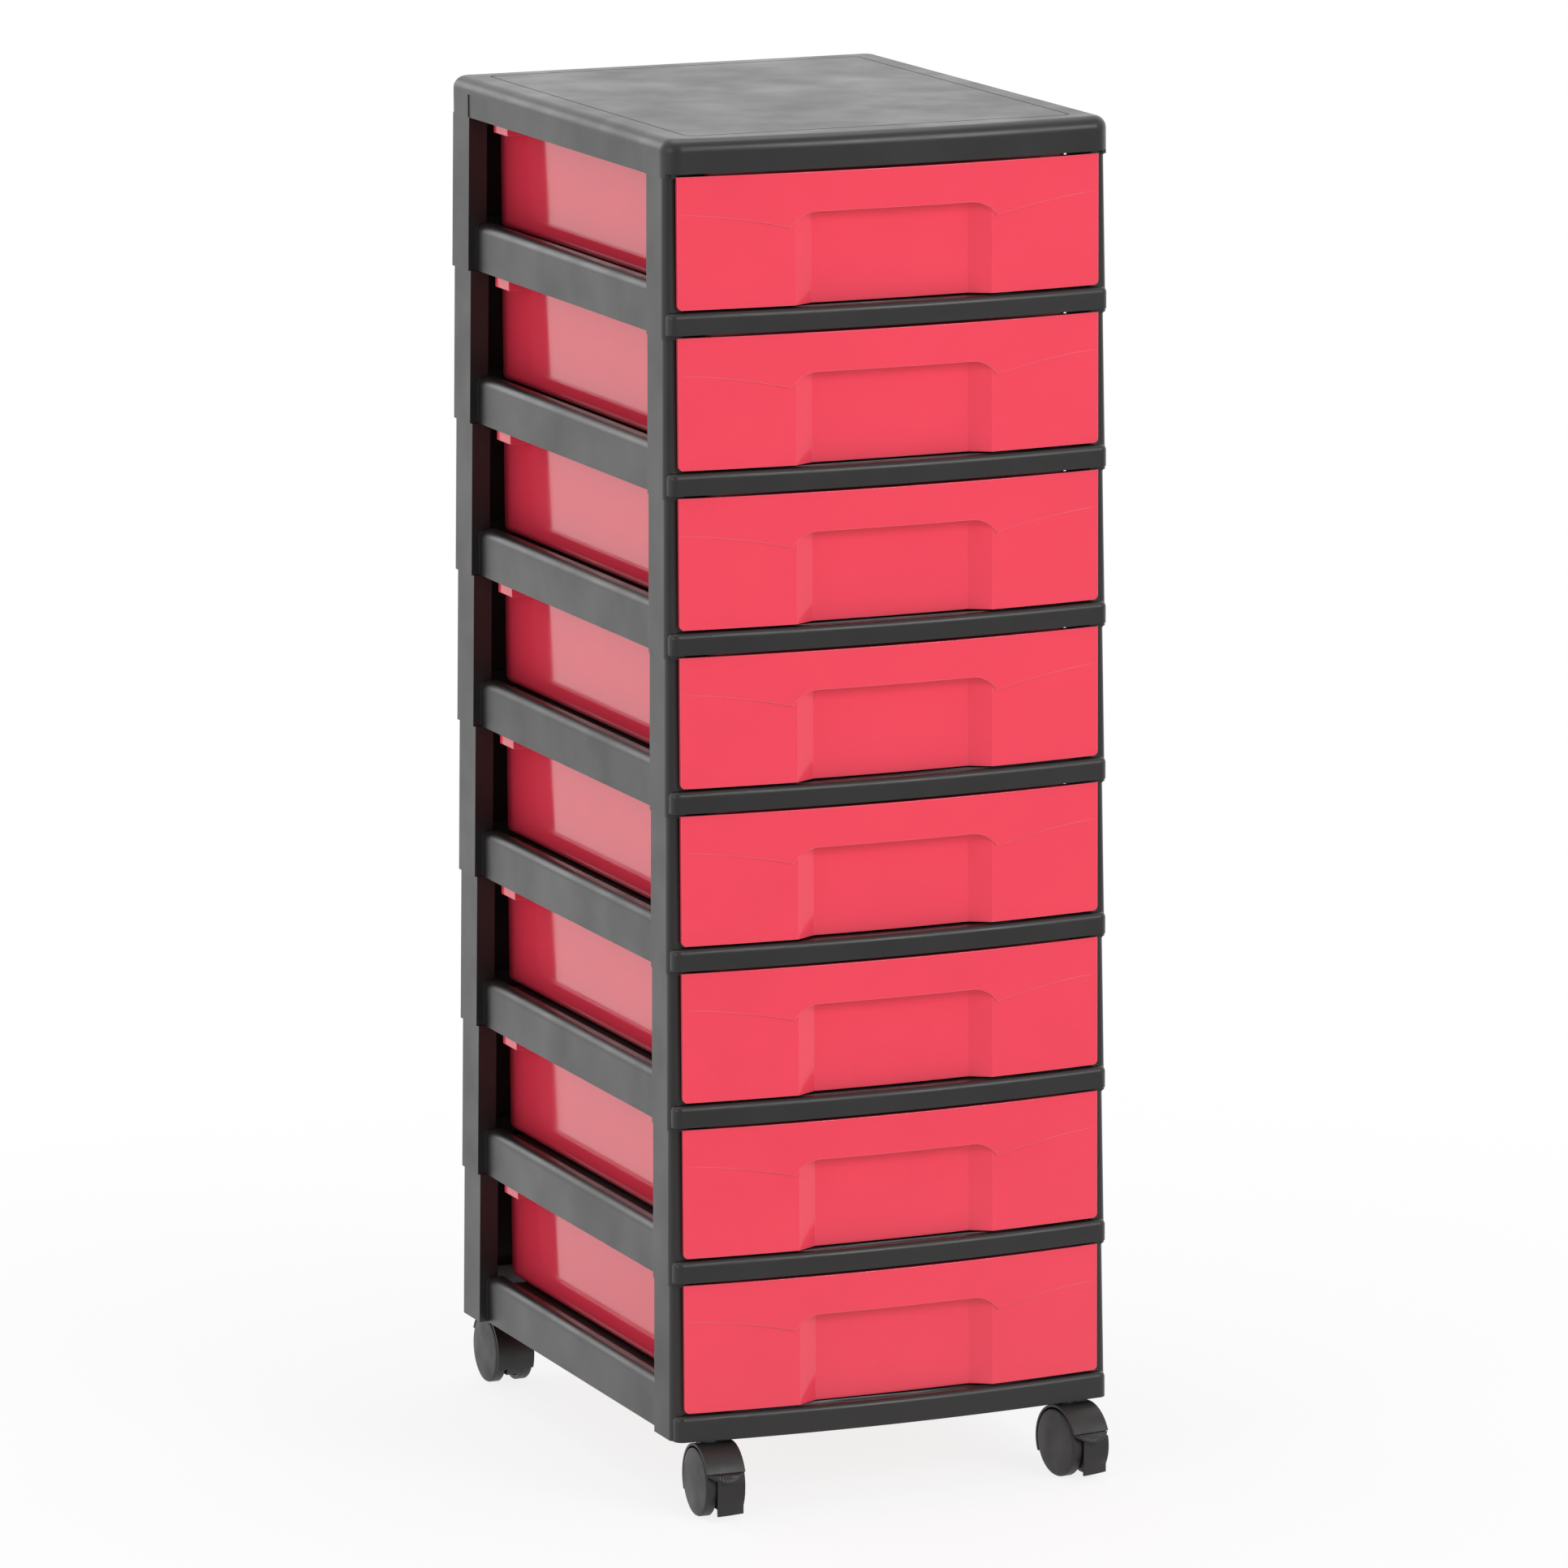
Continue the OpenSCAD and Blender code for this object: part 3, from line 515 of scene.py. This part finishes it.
caster = {
    "wheelR": 0.022,
    "trail": 0.009,           # metres that the axle lies behind the swivel axis
}
pedal = {
    "lipHalf": 0.0122,        # metres, half the lip's width
    "lipSlices": 97,
    "lipArc": 0.0160,         # radius of its front edge in plan
    "lipFront": 0.0368,       # metres from the swivel axis to its front edge
    "lipBack": 0.0320,        # metres from the swivel axis to its rear edge
    "lipLeast": 0.0012,       # metres, its least depth, which both its ends have
    "lipTop": 0.0320,         # height of its top where it doesn't dip
    "lipThick": 0.0019,
    "lipDip": 0.0044,         # how far the middle of its front edge dips
    # its outline from the rear over the top and back below, as shares: how far forward it is, how much of
    # a tooth it carries, and how much of the thickness it lies below the top
    "lipAlong": (0.0, 0.18, 0.35, 0.80, 1.0, 0.98, 0.6, 0.0),
    "lipRise": (0.0, 0.9, 1.0, 0.6, 0.0, 0.0, 0.0, 0.0),
    "lipDrop": (0.0, 0.0, 0.0, 0.05, 0.35, 0.9, 1.0, 1.0),
    "teeth": 7,
    "toothRise": 0.0007,
    "toothSpan": (-0.0112, 0.0030),          # metres along X, the row of teeth
    "flapAcross": (-0.0064, 0.0118),         # metres along X
    "flapSteps": 25,
    "flapR": 0.0246,          # radius of the flap's outer face about the axle
    "flapBend": 0.0125,       # metres above and below the axle that it follows that arc
    "flapPlate": 0.975,       # the upright plate's distance from the axle, as a share of the radius
    "flapEase": 1.5,          # how late the plate gives way to the arc
    "flapThick": 0.0015,
    "flapHeight": (0.0286, 0.0042),          # metres, its top and bottom edge
    "knuckle": (-0.03258, 0.0290, 0.0022),   # its place along Y and Z, and its radius
    "knuckleAcross": (-0.0064, 0.0080),
    "knuckleSteps": 28,
    "rearAngle": 62.0,        # degrees above the front, seen from the knuckle, where the lip's rear begins
    "rearReach": 0.0024,      # metres that the rear may reach from the knuckle's middle
    "edge": 0.0003,           # metres, rounded edges
    "edgeSteps": 2,
    "crisp": 40.0,            # degrees, edges that turn further are rounded
}


def placeAtCorner(grid, corner):
    # X turns until it runs along the pedal's hinge, and the swivel axis goes to its place under the tower
    x0, y0 = joints["swivel_" + corner]["pos_m"][:2]
    cosine, sine = joints["pedal_" + corner]["axis"][:2]
    x, y, z = np.moveaxis(grid, -1, 0)
    return np.stack((x0 + x * cosine - y * sine, y0 + x * sine + y * cosine, z), axis=-1)


def lipGrid(values):
    # slices across X, each a closed outline: a plate that slopes down towards the middle of its front edge,
    # which is an arc in plan, with half-round teeth along one side
    x = np.linspace(-values["lipHalf"], values["lipHalf"], values["lipSlices"])[:, None]
    front = values["lipFront"] - values["lipArc"] + np.sqrt(values["lipArc"] ** 2 - x ** 2)
    back = np.minimum(values["lipBack"], front - values["lipLeast"])
    dip = values["lipDip"] * (1 - (x / values["lipHalf"]) ** 2)
    first, last = values["toothSpan"]
    share = (x - first) / (last - first)
    toothed = (share > 0) & (share < 1)
    tooth = values["toothRise"] * np.abs(np.sin(np.pi * share * values["teeth"])) * toothed
    along, rise, drop = (np.array(values[name]) for name in ("lipAlong", "lipRise", "lipDrop"))
    y = -(back + (front - back) * along)
    z = values["lipTop"] - dip * along + tooth * rise - values["lipThick"] * drop
    # its rear stays within the room that the hood leaves round the knuckle, so that the pedal can turn
    hingeY, hingeZ, _ = values["knuckle"]
    reach = np.hypot(y - hingeY, z - hingeZ)
    rear = np.arctan2(z - hingeZ, hingeY - y) > math.radians(values["rearAngle"])
    pull = np.where(rear, np.minimum(1, values["rearReach"] / reach), 1)
    y, z = hingeY + (y - hingeY) * pull, hingeZ + (z - hingeZ) * pull
    return np.stack((np.broadcast_to(x, y.shape), y, z), axis=-1)


def flapGrid(values, wheel):
    # slices across X: an arc about the axle on the wheel's side, easing to an upright plate on the other
    x = np.linspace(*values["flapAcross"], values["flapSteps"])
    z = np.linspace(*values["flapHeight"], values["flapSteps"])
    fromAxle = np.clip(z - wheel["wheelR"], -values["flapBend"], values["flapBend"])
    bulge = np.sqrt(values["flapR"] ** 2 - fromAxle ** 2)
    ease = ((x - x[0]) / (x[-1] - x[0]))[:, None] ** values["flapEase"]
    plate = values["flapR"] * values["flapPlate"]
    y = -(wheel["trail"] + plate + ease * (bulge - plate))
    outer = np.stack((np.broadcast_to(x[:, None], y.shape), y, np.broadcast_to(z, y.shape)), axis=-1)
    inner = outer + np.array((0, values["flapThick"], 0))
    return np.concatenate((outer, inner[:, ::-1]), axis=1)


def knuckleGrid(values):
    # a round bar along X
    y, z, radius = values["knuckle"]
    x = np.array(values["knuckleAcross"])
    turn = np.linspace(0, 2 * np.pi, values["knuckleSteps"], endpoint=False)
    grid = np.empty((x.size, turn.size, 3))
    grid[..., 0] = x[:, None]
    grid[..., 1] = y + radius * np.cos(turn)
    grid[..., 2] = z + radius * np.sin(turn)
    return grid


def buildPedal(values, corner):
    grids = [lipGrid(values), flapGrid(values, caster), knuckleGrid(values)]
    piece = addPiece("pedal_" + corner, [placeAtCorner(grid, corner) for grid in grids],
                     "brake_" + corner, "caster")
    bevel = piece.modifiers.new("edge", "BEVEL")
    bevel.width, bevel.segments = values["edge"], values["edgeSteps"]
    bevel.limit_method, bevel.angle_limit = "ANGLE", math.radians(values["crisp"])
    bevel.harden_normals = True
    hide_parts("brake_" + corner)


for corner in pedalCorners:
    buildPedal(pedal, corner)
print("pedals made")
